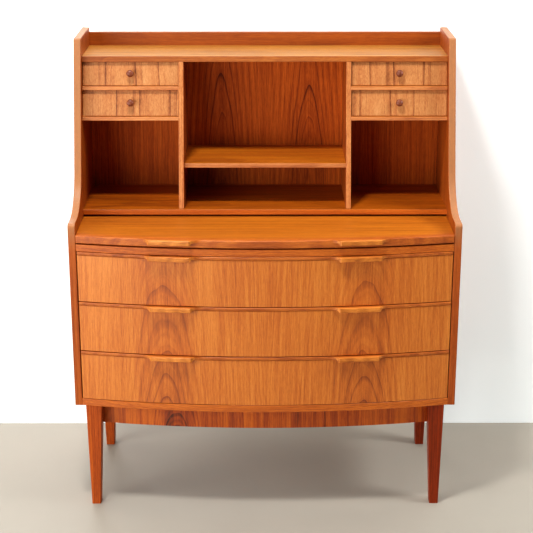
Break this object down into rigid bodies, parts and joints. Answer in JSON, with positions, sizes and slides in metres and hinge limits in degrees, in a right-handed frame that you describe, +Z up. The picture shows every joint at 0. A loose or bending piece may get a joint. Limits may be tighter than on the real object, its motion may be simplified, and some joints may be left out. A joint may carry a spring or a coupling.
{
  "type": "secretary desk",
  "caption": "Bow-fronted teak secretary desk with long drawers, a pull-out writing board and an open hutch with small drawers, on tapered legs.",
  "frame": {"origin": "on the floor, under the middle of the desk's whole width and depth", "axes": "+Z up; +X to the right and -Y out of the drawer fronts, for a person facing the desk"},
  "size_m": [1, 0.5139, 1.211],
  "materials": {
    "side_veneer": "oiled satin teak veneer, upright grain",
    "front_veneer": "oiled satin teak veneer, upright grain",
    "board_veneer": "oiled satin teak veneer, lengthwise grain",
    "back_veneer": "oiled satin teak veneer, upright grain",
    "solid_teak": "oiled satin solid teak",
    "base_teak": "oiled satin solid teak",
    "knob_teak": "oiled turned dark teak",
    "oak": "clear matt lacquer",
    "beech": "unfinished planed",
    "plywood": "unfinished thin plywood",
    "steel": "zinc-plated"
  },
  "bodies": {
    "carcase": {"side_panel_left": "side_veneer", "side_panel_right": "side_veneer", "bottom_board": "board_veneer", "front_rail": "solid_teak", "board_guide_left": "beech", "board_guide_right": "beech", "drawer_runners_left": "beech", "drawer_runners_right": "beech", "lower_back": "plywood", "hutch_floor": "board_veneer", "hutch_back": "back_veneer", "top_board": "board_veneer", "gallery_rail": "solid_teak", "divider_left": "board_veneer", "divider_right": "board_veneer", "dust_board_left_lower": "board_veneer", "dust_board_left_upper": "board_veneer", "dust_board_right_lower": "board_veneer", "dust_board_right_upper": "board_veneer", "centre_shelf": "board_veneer", "leg_front_left": "base_teak", "leg_front_right": "base_teak", "leg_rear_left": "base_teak", "leg_rear_right": "base_teak", "front_apron": "base_teak", "rear_apron": "base_teak", "side_apron_left": "base_teak", "side_apron_right": "base_teak", "corner_blocks": "beech", "base_screws": "steel"},
    "writing_board": {"writing_board": "board_veneer", "writing_board_edge": "solid_teak", "writing_board_stops": "beech"},
    "long_drawer_lower": {"long_drawer_lower_front": "front_veneer", "long_drawer_lower_strip": "solid_teak", "long_drawer_lower_box": "oak", "long_drawer_lower_bottom": "plywood"},
    "long_drawer_middle": {"long_drawer_middle_front": "front_veneer", "long_drawer_middle_strip": "solid_teak", "long_drawer_middle_box": "oak", "long_drawer_middle_bottom": "plywood"},
    "long_drawer_top": {"long_drawer_top_front": "front_veneer", "long_drawer_top_strip": "solid_teak", "long_drawer_top_box": "oak", "long_drawer_top_bottom": "plywood"},
    "small_drawer_left_lower": {"small_drawer_left_lower_front": "front_veneer", "small_drawer_left_lower_box": "oak", "small_drawer_left_lower_knob": "knob_teak"},
    "small_drawer_left_upper": {"small_drawer_left_upper_front": "front_veneer", "small_drawer_left_upper_box": "oak", "small_drawer_left_upper_knob": "knob_teak"},
    "small_drawer_right_lower": {"small_drawer_right_lower_front": "front_veneer", "small_drawer_right_lower_box": "oak", "small_drawer_right_lower_knob": "knob_teak"},
    "small_drawer_right_upper": {"small_drawer_right_upper_front": "front_veneer", "small_drawer_right_upper_box": "oak", "small_drawer_right_upper_knob": "knob_teak"}
  },
  "joints": [
    {"name": "writing_board_slide", "type": "slide", "parent": "carcase", "child": "writing_board", "axis": [0, -1, 0], "range_m": [0, 0.2]},
    {"name": "long_drawer_lower_slide", "type": "slide", "parent": "carcase", "child": "long_drawer_lower", "axis": [0, -1, 0], "range_m": [0, 0.3]},
    {"name": "long_drawer_middle_slide", "type": "slide", "parent": "carcase", "child": "long_drawer_middle", "axis": [0, -1, 0], "range_m": [0, 0.3]},
    {"name": "long_drawer_top_slide", "type": "slide", "parent": "carcase", "child": "long_drawer_top", "axis": [0, -1, 0], "range_m": [0, 0.3]},
    {"name": "small_drawer_left_lower_slide", "type": "slide", "parent": "carcase", "child": "small_drawer_left_lower", "axis": [0, -1, 0], "range_m": [0, 0.12]},
    {"name": "small_drawer_left_upper_slide", "type": "slide", "parent": "carcase", "child": "small_drawer_left_upper", "axis": [0, -1, 0], "range_m": [0, 0.1]},
    {"name": "small_drawer_right_lower_slide", "type": "slide", "parent": "carcase", "child": "small_drawer_right_lower", "axis": [0, -1, 0], "range_m": [0, 0.12]},
    {"name": "small_drawer_right_upper_slide", "type": "slide", "parent": "carcase", "child": "small_drawer_right_upper", "axis": [0, -1, 0], "range_m": [0, 0.1]}
  ]
}
